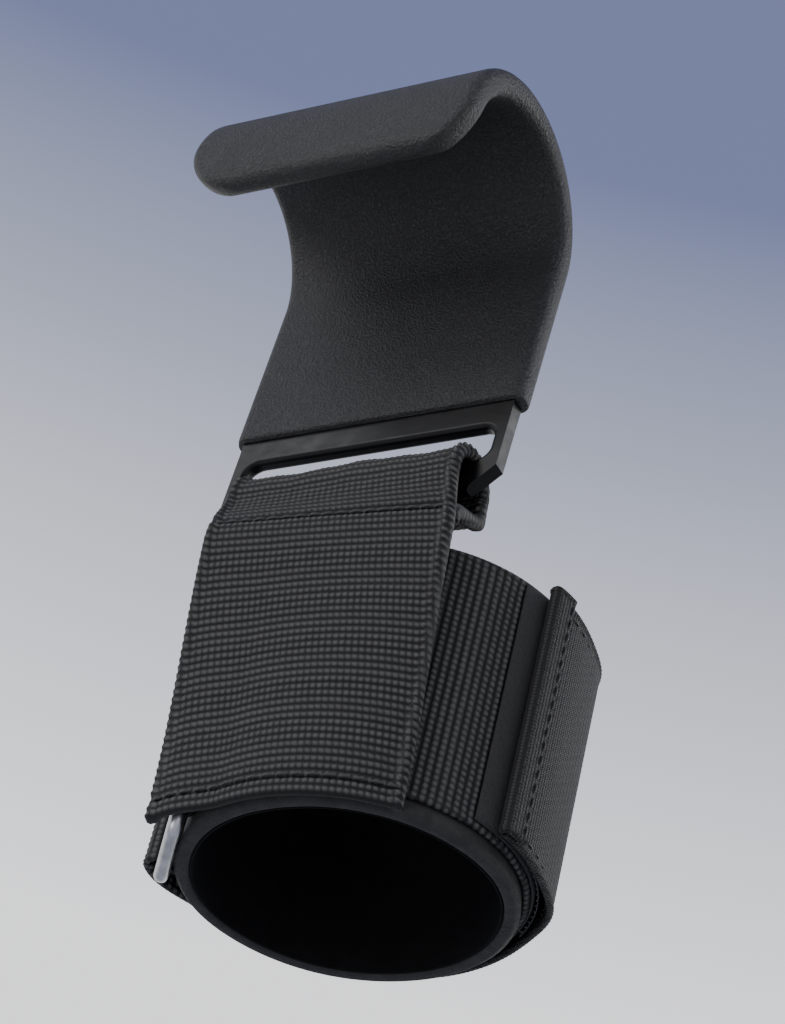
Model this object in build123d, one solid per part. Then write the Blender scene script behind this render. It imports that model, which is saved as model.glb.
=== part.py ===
from build123d import *
from math import cos, pi, radians, sin
import os

# A weight-lifting hook with a padded wrist cuff. Millimetres, +Z up.
# The origin is the centre of the hook's curve. +X runs along the bar that the hook sits on,
# and +Y points to the back, where the plate drops from the curve.

# Hook: a bent steel plate inside a rubber sleeve
SEAT_RADIUS = 19.1
RUBBER = 1.35
STEEL = 3.2
PLATE_SLANT = 4.0            # degrees that the drop leans forward
LIP_ANGLE = 193.0            # the sleeve's lip, from the back (0) over the top (90) to the front (180)
PLATE_LIP_ANGLE = 191.0
SLEEVE_WIDTH = 65.5
SLEEVE_DROP = 39.3           # straight length below the curve
LIP_CORNER = 12.0
PLATE_WIDTH = 62.0
PLATE_BOTTOM = -64.3
TAB_CORNER = 5.5             # slanted lower corners of the bare tab
TAB_EDGE = 1.1               # rounding of the tab's edges where the strap bears

# Slot in the bare tab
SLOT_LENGTH = 56.5
SLOT_HEIGHT = 9.0
SLOT_CORNER = 3.0
SLOT_Z = -51.8

# Load strap: a loop through the slot, and a panel down the cuff's front
STRAP_THICKNESS = 2.2
STRAP_HALF_WIDTH = 26.0
LOOP_Y = 18.0
LOOP_Z = -61.2
LOOP_RADIUS = 5.2            # inside of the loop, clear of the bar below the slot
PANEL_OUTER = 7.25           # outer face of the panel, measured out from the cuff's inner oval
PANEL_CENTRE = -89.5         # degrees round the oval, 0 at +X and 90 at the back
PANEL_HALF_ANGLE = 41.5
PANEL_LIFT = 4.8             # how far the panel's left side stands off to pass over the ring
PANEL_LIFT_ANGLES = (106.0, 131.0)
PANEL_TOP = -79.0            # above this the strap is flat and leads up to its loop
PANEL_BOTTOM = -140.6
BACK_LEG_END = -75.1

# Cuff: layers round an oval, each given by its distance out from the inner oval
CUFF_X = 4.3
CUFF_Y = 41.3
OVAL_X = 30.0
OVAL_Y = 27.0
FOAM_TOP = -78.6
FOAM_BOTTOM = -139.5
LINING = (0.0, 0.5)
FOAM = (0.55, 3.3)
WRAP = (3.4, 4.8)
WRAP_TOP = -79.0
WRAP_BOTTOM = -136.0
WRAP_START = -100.0          # degrees, under the panel
LOOP_TAPE = (4.9, 5.6)
LOOP_TAPE_ANGLES = (-23.5, 58.0)
HOOK_TAPE = (5.9, 6.5)
HOOK_TAPE_ANGLES = (-13.0, 48.0)
TAPE_INSET = 1.0             # the tapes are this much shorter than the strap, top and bottom
TAIL_THICKNESS = 1.4
FLAP_OFFSET = 6.6
FLAP_ANGLES = (-15.5, 65.0)
FLAP_GAP = 0.35
TAIL_REST = 4.9              # the tail's inner face where it lies on the wrap strap
TAIL_RESTS_AT = 168.0
TAIL_RISES_AT = 82.0
HEM_ANGLES = (-15.5, -7.0)
HEM = (8.1, 9.3)

# Ring: round wire bent to a tall rectangle, at the cuff's front left
WIRE_RADIUS = 1.5
RING_TOP = -76.6
RING_BOTTOM = -138.3
RING_CORNER = 2.6
KEEPER = (3.4, 4.4)
KEEPER_START = -104.0
KEEPER_BAR_ANGLE = -131.0
KEEPER_CLEARANCE = 0.25
FOLD_BAR_ANGLE = 194.5
FOLD_OVERLAP = 2.0           # degrees that a leg runs on into its fold
KEEPER_INSET = 1.0           # the keeper is this much shorter than the strap, top and bottom
FOLD_RADIUS = 2.6            # loose fold of the wrap strap round the ring's far bar

# Thread
LOOP_STITCH_Z = -74.0
PANEL_STITCH_INSET = 4.0
STRAP_TWIST = 7.0            # turn of the strap about the upright axis between loop and cuff
STRAP_SHIFT = 2.6            # sideways run of the strap from the loop to the cuff
TWIST_CLEARANCE = 0.4        # keeps the turned strap off the wrap strap
STITCH_LENGTH = 2.4
STITCH_PITCH = 3.2
THREAD = 0.5
THREAD_LIFT = 0.05


def oval_point(offset, angle, z=0.0):
    """A point at a distance out from the cuff's inner oval, at an angle in degrees round it."""
    turn = radians(angle)
    return Vector(CUFF_X + (OVAL_X + offset) * cos(turn), CUFF_Y + (OVAL_Y + offset) * sin(turn), z)


def between(start, end, count):
    """Evenly spaced values from start to end, both included."""
    return [start + (end - start) * i / (count - 1) for i in range(count)]


def smooth(value, low, high):
    """0 below low, 1 above high, and an even slope between."""
    part = min(max((value - low) / (high - low), 0.0), 1.0)
    return part * part * (3 - 2 * part)


def closed_band(first, second, z):
    """A flat face at height z between two rows of points that run the same way."""
    one = Spline(*[Vector(p.X, p.Y, z) for p in first])
    two = Spline(*[Vector(p.X, p.Y, z) for p in second])
    return make_face([one, Line(one @ 1, two @ 1), two, Line(two @ 0, one @ 0)])


def layer(angles, offsets, bottom, top):
    """A curved layer of even thickness that follows part of the oval."""
    turns = between(angles[0], angles[1], 4 + int(abs(angles[1] - angles[0]) / 12))
    inner = [oval_point(offsets[0], a) for a in turns]
    outer = [oval_point(offsets[1], a) for a in turns]
    return extrude(closed_band(inner, outer, bottom), amount=top - bottom, dir=(0, 0, 1))


def tube(offsets, bottom, top):
    """A closed layer all the way round the oval."""
    outer = Ellipse(OVAL_X + offsets[1], OVAL_Y + offsets[1])
    inner = Ellipse(OVAL_X + offsets[0], OVAL_Y + offsets[0])
    return extrude(Pos(CUFF_X, CUFF_Y, bottom) * (outer - inner), amount=top - bottom)


def fold(bar, inner, outer, towards, bottom, top):
    """A half ring of webbing round an upright bar, its closed side facing an angle in degrees."""
    ring = Circle(outer) - Circle(inner)
    half = ring & (Pos(outer, 0) * Rectangle(2 * outer, 2 * outer))
    return extrude(Pos(bar.X, bar.Y, bottom) * Rot(0, 0, towards) * half, amount=top - bottom)


def tangent_angle(angle):
    """Direction, in degrees, along the oval at an angle round it, towards growing angles."""
    ahead = oval_point(5.0, angle + 0.5) - oval_point(5.0, angle - 0.5)
    return Vector(1, 0).get_signed_angle(ahead, Vector(0, 0, 1))


def hook_band(inner, outer, lip_angle, drop):
    """Side outline of the hook: an arc over the bar, a round lip, and a straight drop at the back."""
    sweep = lip_angle + PLATE_SLANT
    outside = CenterArc((0, 0), outer, -PLATE_SLANT, sweep)
    inside = CenterArc((0, 0), inner, -PLATE_SLANT, sweep)
    turn = radians(lip_angle)
    tip = Vector(cos(turn), sin(turn)) * (inner + outer) / 2
    tip = tip + Vector(-sin(turn), cos(turn)) * (outer - inner) / 2
    down = Vector(-sin(radians(PLATE_SLANT)), -cos(radians(PLATE_SLANT))) * drop
    lip = ThreePointArc(outside @ 1, tip, inside @ 1)
    back = Line(outside @ 0, (outside @ 0) + down)
    front = Line(inside @ 0, (inside @ 0) + down)
    return Plane.YZ * make_face([outside, lip, inside, front, Line(front @ 1, back @ 1), back])


def lip_corners(width, bottom, radius):
    """What is cut from the lip to round its two corners, seen from the front."""
    cutters = []
    for side in (-1, 1):
        centre_x = side * (width / 2 - radius)
        block = Pos(centre_x + side * radius, -20, bottom) * Box(2 * radius, 24, 2 * radius)
        drum = Pos(centre_x, -20, bottom + radius) * Rot(90, 0, 0) * Cylinder(radius, 30)
        cutters.append(block - drum)
    return cutters


def make_plate_blank():
    """The bent steel plate with its slot and trimmed corners, before its edges are eased."""
    inner = SEAT_RADIUS + RUBBER
    outline = hook_band(inner, inner + STEEL, PLATE_LIP_ANGLE, -PLATE_BOTTOM + 2)
    blank = extrude(outline, amount=PLATE_WIDTH / 2, both=True)
    lip_bottom = (inner + STEEL) * sin(radians(PLATE_LIP_ANGLE)) - STEEL / 2
    for cutter in lip_corners(PLATE_WIDTH, lip_bottom, LIP_CORNER - RUBBER):
        blank = blank - cutter
    slot = Plane.XZ * Pos(0, SLOT_Z) * RectangleRounded(SLOT_LENGTH, SLOT_HEIGHT, SLOT_CORNER)
    blank = blank - extrude(slot, amount=60, both=True)
    low = PLATE_BOTTOM
    half = PLATE_WIDTH / 2
    waste = Polyline(
        (-half - 5, low + TAB_CORNER + 5), (-half + TAB_CORNER, low), (half - TAB_CORNER, low),
        (half + 5, low + TAB_CORNER + 5), (half + 5, low - 20), (-half - 5, low - 20), close=True)
    return blank - extrude(Plane.XZ * make_face(waste), amount=60, both=True)


def make_hook_plate():
    """The plate with the tab's edges eased where the strap bears on them."""
    plate = make_plate_blank()
    low = SLOT_Z - 1
    bearing = plate.edges().filter_by(Axis.X).filter_by(lambda e: PLATE_BOTTOM - 1 < e.center().Z < low)
    return fillet(bearing, TAB_EDGE)


def make_grip_sleeve():
    """Rubber moulded all round the hook's curve and the upper part of the drop."""
    outer = SEAT_RADIUS + 2 * RUBBER + STEEL
    outline = hook_band(SEAT_RADIUS, outer, LIP_ANGLE, SLEEVE_DROP)
    block = extrude(outline, amount=SLEEVE_WIDTH / 2, both=True)
    lip_bottom = outer * sin(radians(LIP_ANGLE)) - STEEL / 2
    for cutter in lip_corners(SLEEVE_WIDTH, lip_bottom, LIP_CORNER):
        block = block - cutter
    return block - make_plate_blank()


def strap_front(z):
    """Outer face of the strap's flat form: on the loop at the top, against the cuff lower down."""
    loop_front = LOOP_Y - LOOP_RADIUS - STRAP_THICKNESS
    cuff_front = CUFF_Y - OVAL_Y - PANEL_OUTER - TWIST_CLEARANCE
    return loop_front + (cuff_front - loop_front) * smooth(-z, -LOOP_Z, -PANEL_TOP)


def strap_curl(z):
    """How far the strap follows the cuff's oval: 0 at the loop, where it is flat, and 1 at its foot."""
    return smooth(-z, -LOOP_Z + 5, -PANEL_BOTTOM)


def strap_point(across, z, curl, front, deep):
    """A point of the strap, across its width from -1 to 1 and deep behind its outer face."""
    share = smooth(-z, -LOOP_Z, -PANEL_TOP)
    angle = PANEL_CENTRE + across * PANEL_HALF_ANGLE
    lift = PANEL_LIFT * smooth(-angle, PANEL_LIFT_ANGLES[0], PANEL_LIFT_ANGLES[1])
    sideways = across * STRAP_HALF_WIDTH + STRAP_SHIFT * share - CUFF_X
    flat = Vector(CUFF_X, front) + Vector(sideways, deep).rotate(Axis.Z, STRAP_TWIST * share)
    return flat * (1 - curl) + oval_point(PANEL_OUTER + lift - deep, angle) * curl


def strap_section(z, curl, front, depth):
    """A cross-section of the load strap between two depths."""
    rows = [[strap_point(across, z, curl, front, deep) for across in between(-1, 1, 13)] for deep in depth]
    return closed_band(rows[0], rows[1], z)


def make_load_strap():
    """One webbing: the loop over the bar below the slot, its two legs, and the front panel."""
    outer = LOOP_RADIUS + STRAP_THICKNESS
    ring = Circle(outer) - Circle(LOOP_RADIUS)
    upper = ring & (Pos(0, outer) * Rectangle(2 * outer, 2 * outer))
    loop = extrude(Plane.YZ * Pos(LOOP_Y, LOOP_Z) * upper, amount=STRAP_HALF_WIDTH, both=True)
    front = (0, STRAP_THICKNESS)
    behind = (STRAP_THICKNESS / 2, 2 * STRAP_THICKNESS)
    heights = (LOOP_Z, -70.0, PANEL_TOP, -90.0, -101.0, -112.0, -123.0, -132.0, PANEL_BOTTOM)
    front_leg = loft([strap_section(z, strap_curl(z), strap_front(z), front) for z in heights])
    back = LOOP_Y + LOOP_RADIUS
    back_leg = loft([
        strap_section(LOOP_Z, 0.0, back, front),
        strap_section(-65.5, 0.0, back - 0.2, front),
        strap_section(-71.5, strap_curl(-71.5), strap_front(-71.5), behind),
        strap_section(BACK_LEG_END, strap_curl(BACK_LEG_END), strap_front(BACK_LEG_END), behind)], ruled=True)
    return loop + front_leg + back_leg


def tail_offset(angle):
    """Inner face of the tail: high at the ring, down on the wrap strap, and up again at the flap."""
    at_ring = WRAP[0] + TAIL_THICKNESS + 2 * FOLD_RADIUS
    near_ring = smooth(angle, TAIL_RESTS_AT, FOLD_BAR_ANGLE)
    near_flap = 1 - smooth(angle, TAIL_RISES_AT, TAIL_RISES_AT + 30)
    return TAIL_REST + near_ring * (at_ring - TAIL_REST) + near_flap * (FLAP_OFFSET - TAIL_REST)


def make_wrap_strap():
    """Webbing from under the panel, round the right and back, through the ring, and back on itself."""
    inner_run = layer((WRAP_START, FOLD_BAR_ANGLE + FOLD_OVERLAP), WRAP, WRAP_BOTTOM, WRAP_TOP)
    bar = oval_point(WRAP[1] + FOLD_RADIUS, FOLD_BAR_ANGLE)
    towards = tangent_angle(FOLD_BAR_ANGLE)
    turn = fold(bar, FOLD_RADIUS, FOLD_RADIUS + TAIL_THICKNESS, towards, WRAP_BOTTOM, WRAP_TOP)
    gap_angle = FLAP_ANGLES[1] + (FLAP_GAP + TAIL_THICKNESS / 2) / (OVAL_X + FLAP_OFFSET) * 180 / pi
    turns = between(gap_angle, FOLD_BAR_ANGLE + FOLD_OVERLAP, 17)
    inside = [oval_point(tail_offset(a), a) for a in turns]
    outside = [oval_point(tail_offset(a) + TAIL_THICKNESS, a) for a in turns]
    tail = extrude(closed_band(inside, outside, WRAP_BOTTOM), amount=WRAP_TOP - WRAP_BOTTOM, dir=(0, 0, 1))
    return inner_run + turn + tail


def make_ring_keeper():
    """Webbing sewn under the panel's left edge and folded round the ring's near bar."""
    thickness = KEEPER[1] - KEEPER[0]
    inner = WIRE_RADIUS + KEEPER_CLEARANCE
    bar = keeper_bar()
    low, high = WRAP_BOTTOM + KEEPER_INSET, WRAP_TOP - KEEPER_INSET
    run = layer((KEEPER_BAR_ANGLE - FOLD_OVERLAP, KEEPER_START), KEEPER, low, high)
    towards = tangent_angle(KEEPER_BAR_ANGLE) + 180
    turn = fold(bar, inner, inner + thickness, towards, low, high)
    return run + turn


def keeper_bar():
    """Centre of the ring's near bar."""
    return oval_point(KEEPER[1] + WIRE_RADIUS + KEEPER_CLEARANCE, KEEPER_BAR_ANGLE)


def make_cinch_ring():
    """A tall rectangular ring of round wire, in the upright plane through its two bars."""
    near = keeper_bar()
    far = oval_point(WRAP[1] + FOLD_RADIUS, FOLD_BAR_ANGLE)
    along = far - near
    middle = (near + far) * 0.5 + Vector(0, 0, (RING_TOP + RING_BOTTOM) / 2)
    plane = Plane(origin=middle, x_dir=along, z_dir=along.cross(Vector(0, 0, 1)))
    height = RING_TOP - RING_BOTTOM
    path = (plane * RectangleRounded(along.length, height, RING_CORNER)).wire()
    section = Plane(origin=path @ 0, z_dir=path % 0) * Circle(WIRE_RADIUS)
    return sweep(section, path=path)


def make_flap_webbing():
    """The free end of the tail, with a round end at its bend."""
    offsets = (FLAP_OFFSET, FLAP_OFFSET + TAIL_THICKNESS)
    sheet = layer(FLAP_ANGLES, offsets, WRAP_BOTTOM, WRAP_TOP)
    bend = oval_point(FLAP_OFFSET + TAIL_THICKNESS / 2, FLAP_ANGLES[1], WRAP_BOTTOM)
    end = extrude(Pos(*bend) * Circle(TAIL_THICKNESS / 2), amount=WRAP_TOP - WRAP_BOTTOM)
    return sheet + end


def stitch(place, heading, length=STITCH_LENGTH, upright=False):
    """One thread stitch lying on a face, level or upright."""
    size = (THREAD, THREAD, length) if upright else (length, THREAD, THREAD)
    return Pos(*place) * Rot(0, 0, heading) * Box(*size)


def level_row(angles, offset, z):
    """Level stitches along the oval at one height."""
    span = radians(angles[1] - angles[0]) * (OVAL_X + offset)
    count = int(span / STITCH_PITCH)
    lift = offset + THREAD / 2 + THREAD_LIFT
    turns = between(angles[0], angles[1], count)
    return [stitch(oval_point(lift, a, z), tangent_angle(a)) for a in turns]


def upright_row(angle, offset, bottom, top):
    """Upright stitches one above another at one angle round the oval."""
    count = int((top - bottom) / STITCH_PITCH)
    lift = offset + THREAD / 2 + THREAD_LIFT
    return [stitch(oval_point(lift, angle, z), tangent_angle(angle), upright=True)
            for z in between(bottom, top, count)]


def strap_stitches(z):
    """A level row of stitches on the load strap's outer face."""
    count = int(2 * STRAP_HALF_WIDTH / STITCH_PITCH)
    curl, front, deep = strap_curl(z), strap_front(z), -THREAD / 2 - THREAD_LIFT
    stitches = []
    for across in between(-0.92, 0.92, count):
        before = strap_point(across - 0.01, z, curl, front, deep)
        after = strap_point(across + 0.01, z, curl, front, deep)
        turn = Vector(1, 0).get_signed_angle(after - before, Vector(0, 0, 1))
        place = (before + after) * 0.5 + Vector(0, -THREAD_LIFT, z)
        stitches.append(stitch(place, turn))
    return stitches


def write(name, shape):
    """One STEP file per piece; a list of stitches becomes one group of separate solids."""
    solid = Compound(children=shape) if isinstance(shape, list) else shape
    solid.label = name
    export_step(solid, f"parts/{name}.step")


def main():
    os.makedirs("parts", exist_ok=True)
    flap_face = FLAP_OFFSET + TAIL_THICKNESS
    low, high = WRAP_BOTTOM + TAPE_INSET, WRAP_TOP - TAPE_INSET
    write("hook_plate", make_hook_plate())
    write("grip_sleeve", make_grip_sleeve())
    write("load_strap", make_load_strap())
    write("foam_pad", tube(FOAM, FOAM_BOTTOM, FOAM_TOP))
    write("inner_lining", tube(LINING, FOAM_BOTTOM, FOAM_TOP))
    write("wrap_strap", make_wrap_strap())
    write("loop_tape", layer(LOOP_TAPE_ANGLES, LOOP_TAPE, low, high))
    write("ring_keeper", make_ring_keeper())
    write("cinch_ring", make_cinch_ring())
    write("flap_webbing", make_flap_webbing())
    write("hook_tape", layer(HOOK_TAPE_ANGLES, HOOK_TAPE, low, high))
    write("pull_hem", layer(HEM_ANGLES, HEM, WRAP_BOTTOM, WRAP_TOP))
    write("loop_stitches", strap_stitches(LOOP_STITCH_Z))
    write("panel_stitches", strap_stitches(PANEL_BOTTOM + PANEL_STITCH_INSET))
    write("hem_stitches", upright_row(HEM_ANGLES[1] - 1.2, HEM[1], low + 1, high - 1))
    write("flap_top_stitches", level_row((HEM_ANGLES[1] + 4, HOOK_TAPE_ANGLES[1]), flap_face, high - 1.5))
    write("flap_bottom_stitches", level_row((HEM_ANGLES[1] + 4, HOOK_TAPE_ANGLES[1]), flap_face, low + 1.5))


main()
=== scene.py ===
import bpy
import numpy as np
from math import cos, pi, radians, sin
from mathutils import Matrix, Vector


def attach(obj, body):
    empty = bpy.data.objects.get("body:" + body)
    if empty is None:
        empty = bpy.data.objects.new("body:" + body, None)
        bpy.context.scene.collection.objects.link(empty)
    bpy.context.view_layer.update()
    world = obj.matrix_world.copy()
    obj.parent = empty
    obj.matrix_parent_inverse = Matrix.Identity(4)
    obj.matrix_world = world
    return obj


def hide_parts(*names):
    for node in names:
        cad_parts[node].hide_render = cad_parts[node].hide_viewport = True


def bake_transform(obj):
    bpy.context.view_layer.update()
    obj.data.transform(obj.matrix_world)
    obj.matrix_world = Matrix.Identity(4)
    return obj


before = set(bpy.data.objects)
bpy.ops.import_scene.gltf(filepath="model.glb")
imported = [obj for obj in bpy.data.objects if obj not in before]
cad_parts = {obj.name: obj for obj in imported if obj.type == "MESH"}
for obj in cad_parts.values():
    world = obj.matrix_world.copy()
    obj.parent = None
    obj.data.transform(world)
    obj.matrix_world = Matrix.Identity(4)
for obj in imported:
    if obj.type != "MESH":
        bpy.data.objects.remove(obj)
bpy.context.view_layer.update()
MM = 0.001                  # metres in a millimetre

# ---------------------------------------------------------------- the design's measures, in mm and degrees
# Heights are measured up from the centre of the hook's curve, and angles run round the cuff from its right.

# Hook
SEAT_RADIUS = 19.1
SLEEVE_THICK = 5.9
SLEEVE_CORNER = 2.3         # rounding of the sleeve's long edges
PLATE_SLANT = 4.0
LIP_ANGLE = 193.0
SLEEVE_DROP = 39.3          # straight part below the curve
SLEEVE_WIDTH = 65.5
LIP_CORNER = 12.0
PLATE_EASING = 0.7

# Load strap
STRAP = 2.2                 # thickness
STRAP_HALF = 26.0
LOOP_Y = 18.0
LOOP_Z = -61.2
LOOP_RADIUS = 5.2
PANEL_OUTER = 7.25
PANEL_CENTRE = -89.5
PANEL_HALF_ANGLE = 41.5
PANEL_LIFT = 4.8            # how far the panel's left edge stands out over the ring
PANEL_LIFT_ANGLES = (106.0, 131.0)
PANEL_TOP = -79.0
PANEL_BOTTOM = -140.6
BACK_LEG_END = -75.1        # height where the sewn back leg ends
STRAP_TWIST = 7.0           # turn about the upright axis below the loop
STRAP_SHIFT = 2.6           # sideways run from the loop to the cuff
TWIST_CLEARANCE = 0.4
LOOP_STITCH_Z = -74.0
PANEL_STITCH_INSET = 4.0

# Cuff: layers at offsets out from its inner oval
CUFF_X, CUFF_Y = 4.3, 41.3
OVAL_X, OVAL_Y = 30.0, 27.0
FOAM_TOP, FOAM_BOTTOM = -78.6, -139.5
FOAM_LAYER = (0.55, 3.3)
FOAM_SWELL = 0.35           # how far the pad bulges where the wrap strap leaves it free
LINING_LAYER = (0.05, 0.52)
LINING_INSET = 0.25
WRAP = (3.4, 4.8)
WRAP_TOP, WRAP_BOTTOM = -79.0, -136.0
WRAP_START = -100.0
TAIL = 1.4                  # thickness of the tail and flap
FLAP_OFFSET = 6.6
FLAP_END, FLAP_BEND = -15.5, 65.0
TAIL_REST, TAIL_RESTS_AT, TAIL_RISES_AT = 4.9, 168.0, 82.0
KEEPER = (3.4, 4.4)
KEEPER_START, KEEPER_BAR_ANGLE, KEEPER_INSET = -104.0, -131.0, 1.0
KEEPER_FOLD = 1.75          # inner radius of its fold round the ring
KEEPER_SHEET, KEEPER_MIDDLE = 0.9, 0.6
FOLD_BAR_ANGLE, FOLD_RADIUS = 194.5, 2.6
TAIL_SEAM = 166.0
FLAP_CORNER_ANGLE, FLAP_CORNER_WIDTH, FLAP_CORNER = 30, 13, 1.5
HEM_END = -7.5
HEM_GAP = 0.95              # from the flap's face to the middle of its folded hem
HEM_STITCH_ANGLE, HEM_STITCHES = -9.0, (-133.5, -81)
FLAP_STITCH_TOP, FLAP_STITCH_BOTTOM, FLAP_STITCH_ANGLES = -81.6, -133.4, (-2, 48)

# Closure tapes: angles, offset of the middle, and thickness
TAPE_TOP, TAPE_BOTTOM = -80.0, -135.0
LOOP_TAPE_ANGLES, LOOP_TAPE_OFFSET, LOOP_TAPE = (-23.5, 58.0), 5.25, 0.7
HOOK_TAPE_ANGLES, HOOK_TAPE_OFFSET, HOOK_TAPE = (-13.0, 48.0), 6.34, 0.32
TOOTH_BASE, TOOTH_TIP = 6.25, 5.85
TOOTH_ROWS = 1.7            # degrees from row to row
TOOTH_PITCH = 1.2

# Cloth and thread
CLOTH_HALF = 27.0           # half the load strap's width as its weave counts it
RIB = 1.65                  # rib pitch of the webbing
CELL = 1.35                 # pitch of the beads along a rib
STRAP_RELIEF = 0.36
WRAP_RELIEF = 0.42
KEEPER_RELIEF = 0.22
FLAP_RELIEF = 0.1
SELVEDGE_SKIN = 0.3         # what the relief adds to a sheet's thickness
STITCH_PITCH = 3.2
STITCH_HALF_LENGTH = 1.25
THICK_THREAD, THIN_THREAD = 0.34, 0.24


# ---------------------------------------------------------------- shapes
def oval(offset, angle):
    """Points at an offset out from the cuff's inner oval, at angles in degrees."""
    turn = np.radians(angle)
    x = CUFF_X + (OVAL_X + offset) * np.cos(turn)
    y = CUFF_Y + (OVAL_Y + offset) * np.sin(turn)
    return np.stack([x, y], -1)


def smooth(value, low, high):
    """0 below low, 1 above high, and an eased slope between."""
    part = np.clip((value - low) / (high - low), 0, 1)
    return part * part * (3 - 2 * part)


def resample(path, step):
    """Points evenly spaced along a path, and their distances along it."""
    path = np.asarray(path, float)
    run = np.concatenate([[0], np.cumsum(np.linalg.norm(np.diff(path, axis=0), axis=1))])
    count = max(int(round(run[-1] / step)), 2) + 1
    at = np.linspace(0, run[-1], count)
    return np.stack([np.interp(at, run, path[:, i]) for i in range(path.shape[1])], -1), at


def grid_normals(points):
    """Unit normals of a grid of points, columns crossed with rows."""
    down = np.gradient(points, axis=0)
    across = np.gradient(points, axis=1)
    normal = np.cross(across, down)
    return normal / np.maximum(np.linalg.norm(normal, axis=-1, keepdims=True), 1e-9)


def new_mesh(name, points, faces, uvs=None):
    """A smooth-shaded mesh object from points in millimetres."""
    mesh = bpy.data.meshes.new(name)
    mesh.from_pydata([tuple(p) for p in np.asarray(points) * MM], [], faces)
    mesh.validate()
    if uvs is not None:
        layer = mesh.uv_layers.new(name="cloth")
        index = np.empty(len(mesh.loops), int)
        mesh.loops.foreach_get("vertex_index", index)
        layer.data.foreach_set("uv", np.asarray(uvs)[index].astype(np.float32).ravel())
    mesh.polygons.foreach_set("use_smooth", [True] * len(mesh.polygons))
    mesh.update()
    piece = bpy.data.objects.new(name, mesh)
    bpy.context.scene.collection.objects.link(piece)
    return piece


def grid_faces(rows, columns, start, flip):
    """Quads of a grid of points whose first point has the index start."""
    faces = []
    for i in range(rows - 1):
        for j in range(columns - 1):
            a = start + i * columns + j
            b = a + columns
            quad = (a, a + 1, b + 1, b)
            faces.append(quad[::-1] if flip else quad)
    return faces


def slab(name, middle, thickness, outer_relief, inner_relief=0.0, uv=None):
    """A closed sheet with round edges: a grid of middle points, thickened both ways, with relief."""
    rows, columns = middle.shape[:2]
    normal = grid_normals(middle)
    half = thickness / 2
    edge = np.ones((rows, columns))
    for k, share in ((0, 0.45), (1, 0.85)):
        edge[:, k] = np.minimum(edge[:, k], share)
        edge[:, -1 - k] = np.minimum(edge[:, -1 - k], share)
        edge[k, :] = np.minimum(edge[k, :], share)
        edge[-1 - k, :] = np.minimum(edge[-1 - k, :], share)
    top = middle + normal * ((half + outer_relief) * edge)[..., None]
    low = middle - normal * ((half + inner_relief) * edge)[..., None]
    points = np.concatenate([top.reshape(-1, 3), low.reshape(-1, 3)])
    count = rows * columns
    faces = grid_faces(rows, columns, 0, False) + grid_faces(rows, columns, count, True)
    rim = list(range(columns)) + [i * columns + columns - 1 for i in range(1, rows)]
    rim += [(rows - 1) * columns + j for j in range(columns - 2, -1, -1)]
    rim += [i * columns for i in range(rows - 2, 0, -1)]
    for a, b in zip(rim, rim[1:] + rim[:1]):
        faces.append((b, a, a + count, b + count))
    uvs = None if uv is None else np.concatenate([uv.reshape(-1, 2)] * 2)
    return new_mesh(name, points, faces, uvs)


def weave(along, across, depth):
    """Relief of ribbed webbing: rows of beads, each row a rib, each bead leaning a little."""
    row = np.floor(along / RIB)
    share = along / RIB - row
    arch = np.abs(np.sin(pi * share)) ** 0.8
    bead = np.abs(np.cos(pi * (across / CELL + 0.22 * share + 0.06 * np.sin(row * 2.3)))) ** 0.7
    wobble = 0.05 * np.sin(along * 0.9 + across * 0.35) + 0.05 * np.sin(across * 1.7 - along * 0.23)
    return depth * (arch * (0.3 + 0.7 * bead) - 0.5 + wobble)


# ---------------------------------------------------------------- materials
def material(name, build):
    """A material whose nodes are made by one of the functions below."""
    made = bpy.data.materials.new(name)
    made.use_nodes = True
    nodes, links = made.node_tree.nodes, made.node_tree.links
    shader = nodes["Principled BSDF"]
    build(nodes, links, shader)
    return made


def noise(nodes, links, scale, detail, rough=0.6, vector=None):
    """Noise on the object's own coordinates, or on those given."""
    node = nodes.new("ShaderNodeTexNoise")
    node.inputs["Scale"].default_value = scale
    node.inputs["Detail"].default_value = detail
    node.inputs["Roughness"].default_value = rough
    if vector is None:
        vector = nodes.new("ShaderNodeTexCoord").outputs["Object"]
    links.new(vector, node.inputs["Vector"])
    return node.outputs["Fac"]


def ramp(nodes, links, source, stops):
    """A colour ramp with (place, colour or grey value) stops."""
    node = nodes.new("ShaderNodeValToRGB")
    links.new(source, node.inputs["Fac"])
    points = node.color_ramp.elements
    while len(points) < len(stops):
        points.new(0.5)
    for point, (place, colour) in zip(points, stops):
        point.position = place
        point.color = (*colour, 1) if not isinstance(colour, float) else (colour, colour, colour, 1)
    return node.outputs["Color"]


def bump(nodes, links, shader, height, strength, distance, before=None):
    """Bump on the shader's normal, on top of an earlier bump if there is one."""
    node = nodes.new("ShaderNodeBump")
    node.inputs["Strength"].default_value = strength
    node.inputs["Distance"].default_value = distance
    links.new(height, node.inputs["Height"])
    if before is not None:
        links.new(before, node.inputs["Normal"])
    links.new(node.outputs["Normal"], shader.inputs["Normal"])
    return node.outputs["Normal"]


def grey(value, blue=0.0):
    """A grey, with some blue added where asked."""
    return (value, value, value + blue)


def mottle(nodes, links, socket, texture, stops):
    """Drives a socket of the shader from a texture through a ramp."""
    links.new(ramp(nodes, links, texture, stops), socket)


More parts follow.
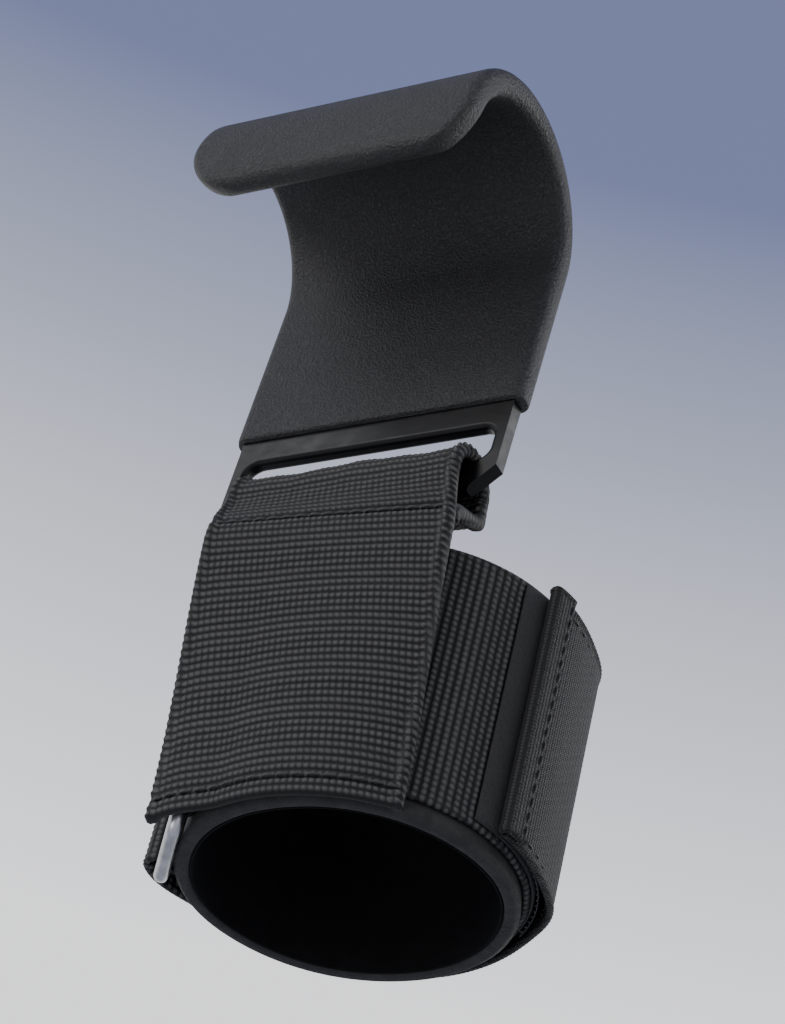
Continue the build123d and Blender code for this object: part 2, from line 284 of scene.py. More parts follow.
def rubber(nodes, links, shader):
    """Matte moulded rubber: a sand grain that catches the light in specks, and faint worn patches."""
    grain = noise(nodes, links, 1900, 3, 0.6)
    mottle(nodes, links, shader.inputs["Base Color"], grain,
           [(0.38, grey(0.004, 0.0002)), (0.55, grey(0.012, 0.0003)), (0.72, grey(0.038))])
    mottle(nodes, links, shader.inputs["Roughness"], noise(nodes, links, 60, 5), [(0.3, 0.46), (0.7, 0.58)])
    first = bump(nodes, links, shader, grain, 0.8, 0.0009)
    bump(nodes, links, shader, noise(nodes, links, 420, 2, 0.5), 0.3, 0.0006, first)
    shader.inputs["Specular IOR Level"].default_value = 0.4


def paint(nodes, links, shader):
    """Smooth black paint on steel, a little uneven and worn."""
    mottle(nodes, links, shader.inputs["Base Color"], noise(nodes, links, 120, 6),
           [(0.35, grey(0.0015, 0.0005)), (0.8, grey(0.004, 0.0005))])
    mottle(nodes, links, shader.inputs["Roughness"], noise(nodes, links, 240, 5), [(0.3, 0.34), (0.75, 0.5)])
    bump(nodes, links, shader, noise(nodes, links, 260, 2), 0.12, 0.0004)
    shader.inputs["Specular IOR Level"].default_value = 0.14


def cloth_uv(nodes):
    """The cloth's own coordinates: millimetres across and along it."""
    node = nodes.new("ShaderNodeUVMap")
    node.uv_map = "cloth"
    return node.outputs["UV"]


def combine(nodes, links, operation, first, second=None):
    """A sum, product or function of sockets and plain numbers."""
    node = nodes.new("ShaderNodeMath")
    node.operation = operation
    for socket, value in zip(node.inputs, (first, second)):
        if isinstance(value, (int, float)):
            socket.default_value = value
        elif value is not None:
            links.new(value, socket)
    return node.outputs[0]


def weave_height(nodes, links, uv, rib, cell):
    """Ribs and beads from the cloth's own millimetres: 1 on a bead, 0 in the valleys."""
    apart = nodes.new("ShaderNodeSeparateXYZ")
    links.new(uv, apart.inputs[0])
    u, v = apart.outputs[0], apart.outputs[1]
    turns = combine(nodes, links, "MULTIPLY", v, pi / rib)
    arch = combine(nodes, links, "ABSOLUTE", combine(nodes, links, "SINE", turns))
    lean = combine(nodes, links, "MULTIPLY", v, 0.16 * pi / rib)
    across = combine(nodes, links, "ADD", combine(nodes, links, "MULTIPLY", u, pi / cell), lean)
    bead = combine(nodes, links, "ABSOLUTE", combine(nodes, links, "COSINE", across))
    bead = combine(nodes, links, "ADD", combine(nodes, links, "MULTIPLY", bead, 0.6), 0.4)
    return combine(nodes, links, "MULTIPLY", arch, bead)


def webbing(nodes, links, shader, rib=RIB, cell=CELL, pale=0.05):
    """Black polyester webbing: beads of yarn in rows, strands on the beads, painted shade in the valleys and
    a painted highlight on the beads.
    """
    uv = cloth_uv(nodes)
    height = weave_height(nodes, links, uv, rib, cell)
    strands = nodes.new("ShaderNodeTexWave")
    strands.bands_direction = "DIAGONAL"
    strands.inputs["Scale"].default_value = 1.15
    strands.inputs["Distortion"].default_value = 1.8
    strands.inputs["Detail"].default_value = 3.0
    links.new(uv, strands.inputs["Vector"])
    mottled = noise(nodes, links, 0.35, 5, 0.65, uv)
    uneven = combine(nodes, links, "ADD", combine(nodes, links, "MULTIPLY", mottled, 0.7), 0.65)
    # colour: painted shade in the weave's valleys and a painted highlight on the bead tops, times a random
    # mottle; pale is the grey of the lit bead tops
    weave_shade_and_mottle = combine(nodes, links, "MULTIPLY", height, uneven)
    mottle(nodes, links, shader.inputs["Base Color"], weave_shade_and_mottle,
           [(0.25, grey(0.0015)), (0.5, grey(pale * 0.3)), (0.9, grey(pale))])
    mottle(nodes, links, shader.inputs["Roughness"], strands.outputs["Fac"], [(0.1, 0.6), (0.9, 0.8)])
    first = bump(nodes, links, shader, strands.outputs["Fac"], 0.4, 0.00018)
    bump(nodes, links, shader, height, 0.55, 0.0004, first)
    shader.inputs["Specular IOR Level"].default_value = 0.3


def twill(nodes, links, shader):
    """The flap's smoother, finer weave."""
    # pale here sets a fainter painted highlight on the bead tops of the finer weave, over painted shade in
    # its valleys
    webbing(nodes, links, shader, rib=0.8, cell=0.75, pale=0.022)


def neoprene(nodes, links, shader):
    """Cut closed-cell foam: matte, with small pores."""
    cells = nodes.new("ShaderNodeTexVoronoi")
    cells.inputs["Scale"].default_value = 1500
    links.new(nodes.new("ShaderNodeTexCoord").outputs["Object"], cells.inputs["Vector"])
    mottle(nodes, links, shader.inputs["Base Color"], noise(nodes, links, 300, 5),
           [(0.3, grey(0.012, 0.0005)), (0.8, grey(0.022, 0.001))])
    mottle(nodes, links, shader.inputs["Roughness"], noise(nodes, links, 500, 4), [(0.3, 0.72), (0.7, 0.9)])
    bump(nodes, links, shader, cells.outputs["Distance"], 0.35, 0.0003)
    shader.inputs["Specular IOR Level"].default_value = 0.3


def lining(nodes, links, shader):
    """Smooth black knit: fine wales with soft folds."""
    uv = cloth_uv(nodes)
    wales = nodes.new("ShaderNodeTexWave")
    wales.inputs["Scale"].default_value = 0.9
    wales.inputs["Distortion"].default_value = 0.6
    links.new(uv, wales.inputs["Vector"])
    mottle(nodes, links, shader.inputs["Base Color"], noise(nodes, links, 0.2, 5, 0.6, uv),
           [(0.3, grey(0.0025, 0.0005)), (0.7, grey(0.005, 0.0005))])
    shader.inputs["Roughness"].default_value = 0.95
    shader.inputs["Specular IOR Level"].default_value = 0.12
    bump(nodes, links, shader, wales.outputs["Fac"], 0.4, 0.0002)


def fuzz(nodes, links, shader):
    """Loop tape: a dense matted pile."""
    pile = noise(nodes, links, 1300, 6, 0.75)
    mottle(nodes, links, shader.inputs["Base Color"], pile,
           [(0.35, grey(0.004, 0.0005)), (0.75, grey(0.016, 0.001))])
    shader.inputs["Roughness"].default_value = 0.95
    shader.inputs["Sheen Weight"].default_value = 0.06
    shader.inputs["Sheen Roughness"].default_value = 0.6
    bump(nodes, links, shader, pile, 0.9, 0.0006)


def nylon(nodes, links, shader):
    """Hook tape: slightly glossy moulded nylon."""
    mottle(nodes, links, shader.inputs["Base Color"], noise(nodes, links, 700, 4),
           [(0.3, grey(0.012, 0.001)), (0.7, grey(0.028, 0.001))])
    shader.inputs["Roughness"].default_value = 0.42
    bump(nodes, links, shader, noise(nodes, links, 1600, 3), 0.3, 0.0002)


def steel(nodes, links, shader):
    """Satin steel wire with drawing marks and small dull spots."""
    shader.inputs["Metallic"].default_value = 1.0
    mottle(nodes, links, shader.inputs["Base Color"], noise(nodes, links, 180, 6),
           [(0.3, (0.26, 0.27, 0.28)), (0.7, (0.5, 0.51, 0.52))])
    mottle(nodes, links, shader.inputs["Roughness"], noise(nodes, links, 600, 5),
           [(0.3, 0.26), (0.75, 0.48)])
    bump(nodes, links, shader, noise(nodes, links, 900, 2), 0.15, 0.0002)


def thread(nodes, links, shader):
    """Twisted polyester thread."""
    twist = nodes.new("ShaderNodeTexWave")
    twist.bands_direction = "DIAGONAL"
    twist.inputs["Scale"].default_value = 1100
    links.new(nodes.new("ShaderNodeTexCoord").outputs["Object"], twist.inputs["Vector"])
    mottle(nodes, links, shader.inputs["Base Color"], twist.outputs["Fac"],
           [(0.2, grey(0.006, 0.0005)), (0.8, grey(0.02, 0.001))])
    shader.inputs["Roughness"].default_value = 0.55
    bump(nodes, links, shader, twist.outputs["Fac"], 0.5, 0.0002)


RUBBER = material("grip_rubber", rubber)
PAINT = material("black_paint", paint)
WEBBING = material("webbing", webbing)
TWILL = material("flap_twill", twill)
NEOPRENE = material("neoprene", neoprene)
LINING = material("lining", lining)
FUZZ = material("loop_tape", fuzz)
NYLON = material("hook_tape", nylon)
STEEL = material("ring_steel", steel)
THREAD = material("thread", thread)


def finish_piece(piece, look, slot, body, *nodes):
    """Gives a piece its material and its body, and hides the CAD nodes that it stands for; slot is not used.
    """
    piece.data.materials.clear()
    piece.data.materials.append(look)
    if body:
        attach(piece, body)
    if nodes:
        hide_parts(*nodes)
    return piece


# ---------------------------------------------------------------- hook
def hook_path(radius):
    """Side line of the hook at a radius, from the drop's foot over the top to the lip: (y, z) rows."""
    slant = radians(PLATE_SLANT)
    start = np.array([radius * cos(slant), -radius * sin(slant)])
    down = np.array([-sin(slant), -cos(slant)])
    drop = [start + down * SLEEVE_DROP * (1 - t) for t in np.linspace(0, 1, 60, endpoint=False)]
    turns = np.radians(np.linspace(-PLATE_SLANT, LIP_ANGLE, 160))
    arc = [radius * np.array([cos(t), sin(t)]) for t in turns]
    return np.array(drop + arc)


def sleeve_section(wide, thick):
    """Round-cornered outline of the sleeve, (x, out) in order, with extra points on its broad faces."""
    corner = min(SLEEVE_CORNER, thick * 0.98)
    ring = []
    for sx, sy, first in ((1, 1, 90), (1, -1, 0), (-1, -1, -90), (-1, 1, 180)):
        for turn in np.radians(np.linspace(first, first - 90, 6)):
            x = sx * (wide - corner) + corner * cos(turn)
            ring.append((x, sy * (thick - corner) + corner * sin(turn)))
    outline = []
    for (x, out), (next_x, _) in zip(ring, ring[1:] + ring[:1]):
        outline.append((x, out))
        if abs(next_x - x) > 5:
            outline += [(x + (next_x - x) * k / 40, out) for k in range(1, 40)]
    return outline


def tube_faces(count, around):
    """Quads between closed rings of points, with both ends closed."""
    faces = []
    for i in range(count - 1):
        for j in range(around):
            k = (j + 1) % around
            faces.append((i * around + j, i * around + k, (i + 1) * around + k, (i + 1) * around + j))
    faces.append(tuple(range(around))[::-1])
    faces.append(tuple((count - 1) * around + j for j in range(around)))
    return faces


def make_sleeve():
    """The rubber sleeve: a rounded band swept over the hook, its lip rounded in both directions."""
    middle = SEAT_RADIUS + SLEEVE_THICK / 2
    path, run = resample(hook_path(middle), 0.6)
    tangent = np.gradient(path, axis=0)
    tangent /= np.linalg.norm(tangent, axis=1, keepdims=True)
    outward = np.stack([tangent[:, 1], -tangent[:, 0]], -1)
    # the lip's round edge runs on past the path's end
    tip = SLEEVE_THICK / 2
    extra = [tip * sin(a) for a in np.radians(np.linspace(12, 90, 9))]
    path = np.concatenate([path, [path[-1] + tangent[-1] * e for e in extra]])
    outward = np.concatenate([outward, [outward[-1]] * len(extra)])
    run = np.concatenate([run, run[-1] + np.array(extra)])
    left = run[-1] - run
    half_thick = np.where(left < tip, np.sqrt(np.maximum(tip ** 2 - (tip - left) ** 2, 1e-4)), tip)
    # the foot's edge is eased over its first millimetre
    start = np.clip(run, 0, 1)
    half_thick = half_thick * (0.86 + 0.14 * np.sqrt(1 - (1 - start) ** 2))
    cut = np.clip(LIP_CORNER - left, 0, LIP_CORNER)
    half_wide = SLEEVE_WIDTH / 2 - (LIP_CORNER - np.sqrt(LIP_CORNER ** 2 - cut ** 2))
    rows = []
    for centre, out, thick, wide in zip(path, outward, half_thick, half_wide):
        section = sleeve_section(wide, thick)
        rows.append([(x, centre[0] + out[0] * t, centre[1] + out[1] * t) for x, t in section])
    grid = np.array(rows)
    piece = new_mesh("grip_sleeve_skin", grid.reshape(-1, 3), tube_faces(*grid.shape[:2]))
    finish_piece(piece, RUBBER, "grip_rubber", "hook", "grip_sleeve")


def dress_plate():
    """The steel plate keeps its CAD shape, with eased edges and paint."""
    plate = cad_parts["hook_plate"]
    easing = plate.modifiers.new("eased_edges", "BEVEL")
    easing.width = PLATE_EASING * MM
    easing.segments = 3
    easing.limit_method = "ANGLE"
    easing.angle_limit = radians(35)
    plate.data.materials.clear()
    plate.data.materials.append(PAINT)


def dress_ring():
    """The ring keeps its CAD shape, in satin steel."""
    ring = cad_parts["cinch_ring"]
    ring.data.materials.clear()
    ring.data.materials.append(STEEL)


# ---------------------------------------------------------------- load strap
def strap_front(z):
    """Outer face of the strap's flat form: on the loop at the top, against the cuff lower down."""
    loop_front = LOOP_Y - LOOP_RADIUS - STRAP
    cuff_front = CUFF_Y - OVAL_Y - PANEL_OUTER - TWIST_CLEARANCE
    return loop_front + (cuff_front - loop_front) * smooth(-z, -LOOP_Z, -PANEL_TOP)


def strap_curl(z):
    """How far the strap follows the cuff's oval: 0 at the loop, where it is flat, and 1 at its foot."""
    return smooth(-z, -LOOP_Z + 5, -PANEL_BOTTOM)


def strap_flat(across, y, z, front):
    """The strap's flat cross-section, turned a little about the upright axis below the loop."""
    share = smooth(-z, -LOOP_Z, -PANEL_TOP)
    turn = np.radians(STRAP_TWIST * share)
    dx = np.asarray(across) * STRAP_HALF + STRAP_SHIFT * share - CUFF_X
    dy = y - front
    x = CUFF_X + dx * np.cos(turn) - dy * np.sin(turn)
    return np.stack([x, front + dx * np.sin(turn) + dy * np.cos(turn)], -1)


def strap_curved(across, deep):
    """The strap's cross-section on the cuff: along the oval, lifted on the left to pass over the ring."""
    angle = PANEL_CENTRE + across * PANEL_HALF_ANGLE
    lift = PANEL_LIFT * smooth(-angle, *PANEL_LIFT_ANGLES)
    return oval(PANEL_OUTER + lift - deep, angle)


def strap_line():
    """Stations of the strap, foot to loop to back leg: flat y, height, curl, and depth of its middle."""
    stations = []
    for z in np.linspace(PANEL_BOTTOM + 0.3, LOOP_Z, 70):
        stations.append((strap_front(z) + STRAP / 2, z, strap_curl(z), STRAP / 2))
    middle = LOOP_RADIUS + STRAP / 2
    for a in np.radians(np.linspace(180, 0, 25)[1:]):
        stations.append((LOOP_Y + middle * cos(a), LOOP_Z + middle * sin(a), 0.0, STRAP / 2))
    back = LOOP_Y + middle
    for t in np.linspace(0, 1, 16)[1:]:
        z = LOOP_Z + (BACK_LEG_END - LOOP_Z) * t
        ease = smooth(t, 0.28, 0.85)
        y = back + (strap_front(z) + 1.5 * STRAP - back) * ease
        stations.append((y, z, strap_curl(z) * ease, 1.5 * STRAP))
    return np.array(stations)


def strap_grid(stations, columns):
    """Middle surface of the strap: flat where curl is 0 and on the oval where it is 1."""
    across = np.linspace(-1, 1, columns)
    grid = np.empty((len(stations), columns, 3))
    for i, (y, z, curl, depth) in enumerate(stations):
        flat = strap_flat(across, y, z, strap_front(z))
        grid[i, :, :2] = flat * (1 - curl) + strap_curved(across, depth) * curl
        grid[i, :, 2] = z
    return grid, across


def strap_relief(across, length, wide):
    """Beads between the selvedges, twisted yarn on them, and grooves at the two stitch rows."""
    relief = weave(length, wide, STRAP_RELIEF)
    rolled = 0.75 * np.exp(-((np.abs(across) - 0.95) / 0.035) ** 2)[None, :]
    twist = np.where(wide > 0, 0.28, 0.12) * np.sin(2 * pi * (length / 1.7 + wide / 2.6))
    edge = smooth(np.abs(across), 0.885, 0.91)[None, :]
    relief = relief * (1 - edge) + (twist + rolled) * edge
    seam = LOOP_STITCH_Z - PANEL_BOTTOM + 0.4
    relief -= 0.45 * np.exp(-((length - seam) / 0.9) ** 2)
    relief -= 0.38 * np.exp(-((length - PANEL_STITCH_INSET) / 0.7) ** 2)
    return np.minimum(relief, 0.9)


def make_load_strap():
    """One webbing: the panel, the loop over the bar below the slot, and the sewn back leg."""
    stations, run = resample(strap_line(), 0.25)
    grid, across = strap_grid(stations, 150)
    length = run[:, None]
    wide = across[None, :] * CLOTH_HALF
    relief = strap_relief(across, length, wide)
    # slack ripples where the strap bunches in the slot, 86 mm along it
    loose = np.exp(-((length - 86) / 9.0) ** 2)
    grid[..., 2] += loose * (0.3 * np.sin(wide * 0.2 + 1.1) + 0.12 * np.sin(wide * 0.63))
    uv = np.stack(np.broadcast_arrays(wide, length), -1)
    piece = slab("load_strap_webbing", grid, STRAP - 0.35, relief, relief * 0.6, uv)
    finish_piece(piece, WEBBING, "webbing", "cuff", "load_strap")


# ---------------------------------------------------------------- cuff layers
def upright_grid(line, heights):
    """A grid of points: a level line repeated at each height."""
    grid = np.empty((len(line), len(heights), 3))
    grid[..., :2] = line[:, None, :]
    grid[..., 2] = heights[None, :]
    return grid


def upright_sheet(name, line, thickness, low, high, depth=WRAP_RELIEF, step=0.24):
    """Webbing that runs level round the cuff, with its ribs upright; gives the piece and its length."""
    points, run = resample(line, step)
    heights = np.linspace(low, high, int((high - low) / 0.33))
    length = run[:, None]
    wide = heights[None, :]
    share = np.abs(wide - (low + high) / 2) / ((high - low) / 2)
    edge = smooth(share, 0.93, 0.955)
    roll = 0.22 * np.exp(-((share - 0.972) / 0.018) ** 2)
    yarn = 0.1 * np.sin(2 * pi * (length / 1.2 + wide / 0.9))
    relief = weave(length, wide, depth) * (1 - edge) + (yarn + roll) * edge
    uv = np.stack(np.broadcast_arrays(wide, length), -1)
    return slab(name, upright_grid(points, heights), thickness, relief, relief, uv), run[-1]


def arc_line(start, end, offset, count=80):
    """Points along the oval at an offset."""
    return oval(offset, np.linspace(start, end, count))


def half_turn(bar, radius, first, sweep, count=20):
    """Points round an upright bar."""
    turns = np.radians(np.linspace(first, first + sweep, count))
    return bar + radius * np.stack([np.cos(turns), np.sin(turns)], -1)


def tail_offset(angle):
    """Inner face of the tail: high at the ring, down on the wrap strap, and up again at the flap."""
    at_ring = WRAP[0] + TAIL + 2 * FOLD_RADIUS
    near_ring = smooth(angle, TAIL_RESTS_AT, FOLD_BAR_ANGLE)
    near_flap = 1 - smooth(angle, TAIL_RISES_AT, TAIL_RISES_AT + 30)
    return TAIL_REST + near_ring * (at_ring - TAIL_REST) + near_flap * (FLAP_OFFSET - TAIL_REST)


def tail_line(start, end, count=90):
    """Middle line of the tail between two angles."""
    turns = np.linspace(start, end, count)
    return np.array([oval(tail_offset(a) + TAIL / 2, a) for a in turns])


def heading(angle):
    """Direction along the oval towards growing angles, in degrees."""
    step = oval(5.0, angle + 0.5) - oval(5.0, angle - 0.5)
    return np.degrees(np.arctan2(step[1], step[0]))


def make_wrap():
    """Wrap strap: from under the panel round to the ring, through it, and back to the tail's seam."""
    middle = (WRAP[0] + WRAP[1]) / 2
    inner = arc_line(WRAP_START, FOLD_BAR_ANGLE, middle, 160)
    bar = oval(WRAP[1] + FOLD_RADIUS, FOLD_BAR_ANGLE)
    turn = half_turn(bar, FOLD_RADIUS + TAIL / 2, heading(FOLD_BAR_ANGLE) - 90, 180)
    line = np.concatenate([inner[:-1], turn, tail_line(FOLD_BAR_ANGLE, TAIL_SEAM)[1:]])
    piece, length = upright_sheet("wrap_strap_webbing", line, TAIL - SELVEDGE_SKIN, WRAP_BOTTOM, WRAP_TOP)
    finish_piece(piece, WEBBING, "webbing", "cuff", "wrap_strap")


def make_flap():
    """Tail and flap: from the seam at the back, over the bend, to a hem folded back on itself."""
    end_turn = oval(FLAP_OFFSET + TAIL + 0.15, FLAP_END + 0.9)
    line = tail_line(TAIL_SEAM, FLAP_END + 1.0, 160)
    turns = np.linspace(TAIL_SEAM, FLAP_END + 1.0, 160)
    outward = line - np.array([CUFF_X, CUFF_Y])
    outward /= np.linalg.norm(outward, axis=1, keepdims=True)
    corner = FLAP_CORNER * np.exp(-((turns - FLAP_CORNER_ANGLE) / FLAP_CORNER_WIDTH) ** 2)
    line = line + outward * corner[:, None]
    fold = half_turn(end_turn, 0.85, heading(FLAP_END) - 90, -180, 10)
    back = arc_line(FLAP_END + 1.0, HEM_END, FLAP_OFFSET + TAIL + HEM_GAP, 12)
    line = np.concatenate([line, fold[1:-1], back])
    piece, length = upright_sheet(
        "flap_sheet", line, TAIL - SELVEDGE_SKIN, WRAP_BOTTOM, WRAP_TOP, depth=FLAP_RELIEF, step=0.3)
    finish_piece(piece, TWILL, "webbing", None, "flap_webbing", "pull_hem")
    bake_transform(piece)


def make_keeper():
    """Webbing sewn under the panel's left edge and folded round the ring's near bar."""
    middle = (KEEPER[0] + KEEPER[1]) / 2
    bar = oval(KEEPER[1] + KEEPER_FOLD, KEEPER_BAR_ANGLE)
    inner = arc_line(KEEPER_START, KEEPER_BAR_ANGLE, middle, 30)
    turn = half_turn(bar, KEEPER_FOLD + KEEPER_MIDDLE, heading(KEEPER_BAR_ANGLE) - 90, -180)
    line = np.concatenate([inner[:-1], turn])
    piece, length = upright_sheet(
        "ring_keeper_webbing", line, KEEPER_SHEET, WRAP_BOTTOM + KEEPER_INSET, WRAP_TOP - KEEPER_INSET,
        depth=KEEPER_RELIEF)
    finish_piece(piece, WEBBING, "webbing", "cuff", "ring_keeper")


def ring_section(inner, outer, low, high, bulge):
    """Outline of a layer round the oval, (offset, z) in order, with soft edges."""
    soft = min(0.9, (outer - inner) * 0.45)
    section = [(outer + bulge(z), z) for z in np.linspace(low + soft, high - soft, 60)]

    def corner(offset, z, degrees):
        return [(offset + soft * cos(a), z + soft * sin(a)) for a in np.radians(degrees)]

    section += corner(outer - soft, high - soft, np.linspace(0, 90, 5)[1:])
    section += corner(inner + soft, high - soft, np.linspace(90, 180, 5))
    section += [(inner, z) for z in np.linspace(high - soft, low + soft, 30)[1:]]
    section += corner(inner + soft, low + soft, np.linspace(180, 270, 5)[1:])
    section += corner(outer - soft, low + soft, np.linspace(270, 360, 5)[:-1])
    return section


def ring_body(name, offsets, low, high, bulge, look, slot, node):
    """A closed layer round the oval; bulge is how far a free edge swells."""
    section = ring_section(*offsets, low, high, bulge)
    turns = np.linspace(0, 360, 220, endpoint=False)
    points, uvs = [], []
    for angle in turns:
        wave = 0.12 * sin(radians(3 * angle + 20)) + 0.08 * sin(radians(5 * angle))
        for offset, z in section:
            points.append((*oval(offset, angle), z + wave * smooth(-z, 130, 140)))
            uvs.append((angle * 0.58, z))
    around, rows = len(section), len(turns)
    faces = []
    for i in range(rows):
        for j in range(around):
            a, b = i * around + j, i * around + (j + 1) % around
            c, d = ((i + 1) % rows) * around + (j + 1) % around, ((i + 1) % rows) * around + j
            faces.append((a, d, c, b))
    piece = new_mesh(name, points, faces, np.array(uvs))
    return finish_piece(piece, look, slot, "cuff", node)


def make_foam():
    """The neoprene pad, swollen a little above and below the wrap strap."""
    def swell(z):
        below = smooth(-z, 135.4, 137.5)
        above = smooth(z, -79.4, -77.4)
        return FOAM_SWELL * (below + above)

    piece = ring_body(
        "foam_pad_body", FOAM_LAYER, FOAM_BOTTOM, FOAM_TOP, swell, NEOPRENE, "neoprene", "foam_pad")


def make_lining():
    """The thin knit inside the pad, a little short of the pad's two ends."""
    ring_body("lining_sleeve", LINING_LAYER, FOAM_BOTTOM + LINING_INSET, FOAM_TOP - LINING_INSET,
              lambda z: 0.0, LINING, "lining", "inner_lining")


def make_loop_tape():
    """Pile tape: a slab whose outer face is uneven from point to point."""
    rng = np.random.default_rng(7)
    line, _ = resample(arc_line(*LOOP_TAPE_ANGLES, LOOP_TAPE_OFFSET), 0.3)
    grid = upright_grid(line, np.linspace(TAPE_BOTTOM, TAPE_TOP, 150))
    relief = rng.uniform(-0.14, 0.12, grid.shape[:2])
    piece = slab("loop_tape_pile", grid, LOOP_TAPE, relief)
    finish_piece(piece, FUZZ, "loop_tape", "cuff", "loop_tape")


def make_hook_tape():
    """Hook tape: a thin backing with rows of small teeth on its inner face."""
    line, _ = resample(arc_line(*HOOK_TAPE_ANGLES, HOOK_TAPE_OFFSET), 0.6)
    grid = upright_grid(line, np.linspace(TAPE_BOTTOM, TAPE_TOP, 60))
    backing = slab("hook_tape_backing", grid, HOOK_TAPE, 0.0)
    finish_piece(backing, NYLON, "hook_tape", "flap", "hook_tape")
    points, faces = [], []
    up = np.array([0, 0, 0.2])
    for row, angle in enumerate(np.arange(HOOK_TAPE_ANGLES[0] + 0.4, HOOK_TAPE_ANGLES[1] - 0.2, TOOTH_ROWS)):
        shift = TOOTH_PITCH / 2 * (row % 2)
        side = np.array([*(oval(TOOTH_BASE, angle + 0.35) - oval(TOOTH_BASE, angle)), 0.0])
        for z in np.arange(TAPE_BOTTOM + 0.3 + shift, TAPE_TOP - 0.4, TOOTH_PITCH):
            base = np.array([*oval(TOOTH_BASE, angle), z])
            tip = np.array([*oval(TOOTH_TIP, angle), z + 0.25])
            k = len(points)
            for centre, half in ((base, side), (tip, side * 0.8)):
                points += [centre - half - up, centre + half - up, centre + half + up, centre - half + up]
            faces += [(k, k + 1, k + 5, k + 4), (k + 1, k + 2, k + 6, k + 5), (k + 2, k + 3, k + 7, k + 6),
                      (k + 3, k, k + 4, k + 7), (k + 4, k + 5, k + 6, k + 7), (k + 3, k + 2, k + 1, k)]
    teeth = new_mesh("hook_tape_teeth", points, faces)
    finish_piece(teeth, NYLON, "hook_tape", "flap")


# ---------------------------------------------------------------- thread
def stitch_row(name, places, body, node, size):
    """Short arched strands whose ends dip into the cloth; places holds (middle, along, out) for each."""
    points, faces = [], []
    around, steps = 8, 7
    for middle, along, out in places:
        along = along / np.linalg.norm(along)
        out = out / np.linalg.norm(out)
        side = np.cross(along, out)
        first = len(points)
        for t in np.linspace(-1, 1, steps):
            centre = middle + along * STITCH_HALF_LENGTH * t + out * (0.5 * size - 0.4 * t * t)
            thick = size * (1 - 0.35 * t * t)
            for a in np.linspace(0, 2 * pi, around, endpoint=False):
                points.append(centre + thick * (side * cos(a) + out * sin(a)))
        for i in range(steps - 1):
            for j in range(around):
                a, b = first + i * around + j, first + i * around + (j + 1) % around
                faces.append((a, b, b + around, a + around))
        faces.append(tuple(first + j for j in range(around))[::-1])
        last = first + (steps - 1) * around
        faces.append(tuple(last + j for j in range(around)))
    piece = new_mesh(name, points, faces)
    finish_piece(piece, THREAD, "thread", body, node)


def level_place(middle, step, z):
    """A stitch's place on an upright face: its middle, its direction, and the way out of the cloth."""
    return np.array([*middle, z]), np.array([*step, 0.0]), np.array([step[1], -step[0], 0.0])


def strap_places(z):
    """Stitches across the load strap at one height."""
    curl, front = strap_curl(z), strap_front(z)

    def face(across):
        return strap_flat(across, front, z, front) * (1 - curl) + strap_curved(across, 0.0) * curl

    places = []
    for across in np.linspace(-0.9, 0.9, 17):
        before, after = face(across - 0.02), face(across + 0.02)
        places.append(level_place((before + after) / 2, after - before, z))
    return places


def level_places(first, last, offset, z):
    """Stitches along the oval at one height."""
    count = int(radians(last - first) * (OVAL_X + offset) / STITCH_PITCH)
    places = []
    for angle in np.linspace(first, last, count):
        step = oval(offset, angle + 0.5) - oval(offset, angle - 0.5)
        places.append(level_place(oval(offset, angle), step, z))
    return places


def hem_places():
    """Upright stitches down the middle of the flap's hem."""
    angle = HEM_STITCH_ANGLE
    places = []
    for z in np.arange(*HEM_STITCHES, STITCH_PITCH):
        middle = np.array([*oval(FLAP_OFFSET + TAIL + 1.6, angle), z])
        out = np.array([*(oval(9.0, angle) - oval(8.0, angle)), 0.0])
        places.append((middle, np.array([0, 0, 1.0]), out))
    return places


def make_stitches():
    """All the thread rows: two on the load strap, one on the hem, and two along the flap's edges."""
    panel = strap_places(PANEL_BOTTOM + PANEL_STITCH_INSET)
    stitch_row("panel_stitch_threads", panel, "cuff", "panel_stitches", THICK_THREAD)
    stitch_row("loop_stitch_threads", strap_places(LOOP_STITCH_Z), "cuff", "loop_stitches", THICK_THREAD)
    stitch_row("hem_stitch_threads", hem_places(), "flap", "hem_stitches", THIN_THREAD)
    face = FLAP_OFFSET + TAIL - 0.1
    for name, z, node in (("flap_top_threads", FLAP_STITCH_TOP, "flap_top_stitches"),
                          ("flap_bottom_threads", FLAP_STITCH_BOTTOM, "flap_bottom_stitches")):
        stitch_row(name, level_places(*FLAP_STITCH_ANGLES, face, z), "flap", node, THIN_THREAD)


# ---------------------------------------------------------------- stage, light and camera
def make_stage():
    """A pale floor well below the object."""
    size, depth = 6.0, -1.3
    mesh = bpy.data.meshes.new("floor")
    corners = [(x, y, depth) for x, y in ((-size, -size), (size, -size), (size, size), (-size, size))]
    mesh.from_pydata(corners, [], [(0, 1, 2, 3)])
    floor = bpy.data.objects.new("floor", mesh)
    bpy.context.scene.collection.objects.link(floor)

    def pale(nodes, links, shader):
        mottle(nodes, links, shader.inputs["Base Color"], noise(nodes, links, 2, 2),
               [(0.3, (0.72, 0.72, 0.73)), (0.7, (0.76, 0.76, 0.77))])
        shader.inputs["Roughness"].default_value = 0.8

    mesh.materials.append(material("pale_floor", pale))


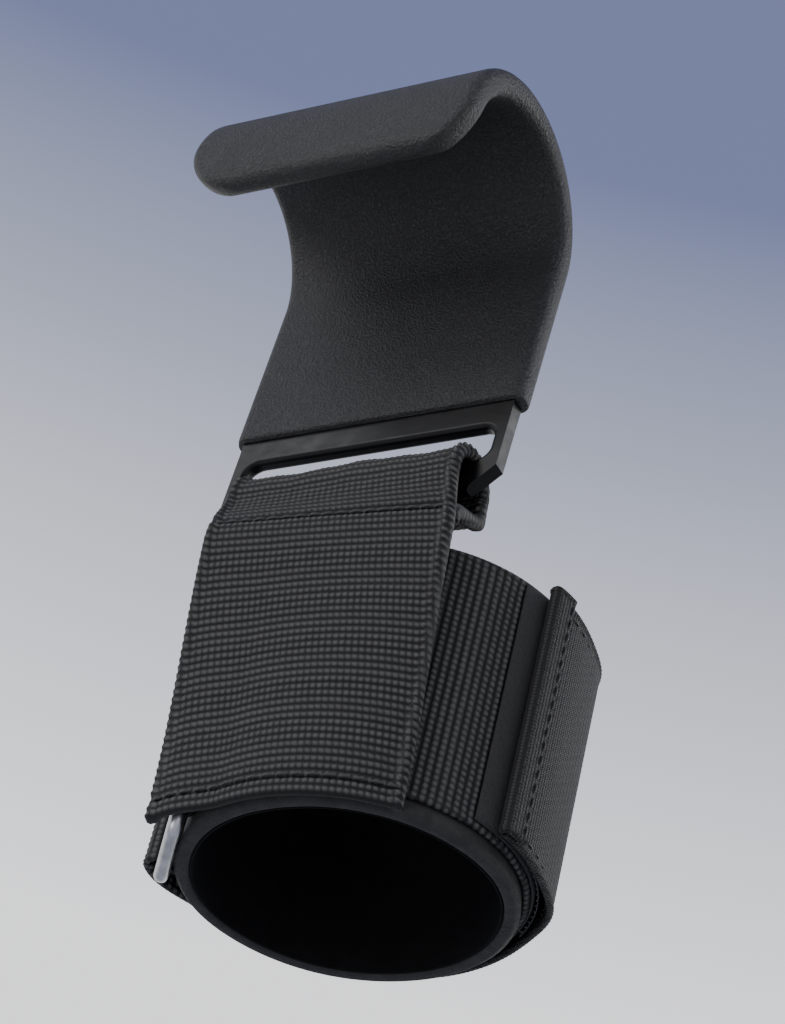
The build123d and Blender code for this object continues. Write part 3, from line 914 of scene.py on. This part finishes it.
def make_world():
    """Soft grey-blue surroundings, paler towards the floor."""
    world = bpy.data.worlds.new("studio")
    world.use_nodes = True
    nodes, links = world.node_tree.nodes, world.node_tree.links
    place = nodes.new("ShaderNodeTexCoord")
    split = nodes.new("ShaderNodeSeparateXYZ")
    links.new(place.outputs["Generated"], split.inputs[0])
    colour = ramp(nodes, links, split.outputs["Z"], [
        (0.0, (1.1, 1.1, 1.1)), (0.50, (1.1, 1.11, 1.15)), (0.575, (0.70, 0.71, 0.79)),
        (0.64, (0.36, 0.39, 0.50)), (0.70, (0.155, 0.18, 0.33)), (1.0, (0.15, 0.17, 0.29))])
    links.new(colour, nodes["Background"].inputs["Color"])
    nodes["Background"].inputs["Strength"].default_value = 1.25
    bpy.context.scene.world = world


def area_light(name, place, aim, size, power):
    """A soft lamp turned towards a point; metres and watts."""
    light = bpy.data.lights.new(name, "AREA")
    light.size = size
    light.energy = power
    lamp = bpy.data.objects.new(name, light)
    lamp.location = place
    lamp.rotation_euler = (Vector(aim) - Vector(place)).to_track_quat("-Z", "Y").to_euler()
    bpy.context.scene.collection.objects.link(lamp)


def make_camera():
    """The view from below and from the right front, turned a little about its own axis."""
    place = Vector((0.3041, -0.4027, -0.4673))
    azimuth, elevation, roll = radians(35.04), radians(-38.0), radians(14.66)
    back = Vector((sin(azimuth) * cos(elevation), -cos(azimuth) * cos(elevation), sin(elevation)))
    level = Vector((cos(azimuth), sin(azimuth), 0))
    upright = back.cross(level)
    right = cos(roll) * level + sin(roll) * upright
    up = -sin(roll) * level + cos(roll) * upright
    data = bpy.data.cameras.new("view")
    data.lens = 117.35
    data.sensor_width = 36
    data.clip_start = 0.01
    camera = bpy.data.objects.new("view", data)
    turn = Matrix((right, up, back)).transposed().to_4x4()
    camera.matrix_world = Matrix.Translation(place) @ turn
    bpy.context.scene.collection.objects.link(camera)
    bpy.context.scene.camera = camera


make_camera()
make_world()
make_stage()
area_light("key", (-0.5, -0.9, 0.7), (0, 0.02, -0.04), 0.6, 9)
area_light("fill", (0.9, -0.5, -0.5), (0, 0.03, -0.08), 0.9, 1.5)
area_light("low", (-0.4, -0.7, -0.8), (0, 0.03, -0.1), 0.7, 2.5)
area_light("rim", (0.7, 0.8, 0.5), (0, 0.03, -0.05), 0.6, 6)

dress_plate()
make_sleeve()
make_foam()
make_lining()
make_load_strap()
make_wrap()
make_keeper()
make_loop_tape()
make_hook_tape()
make_flap()
make_stitches()
dress_ring()
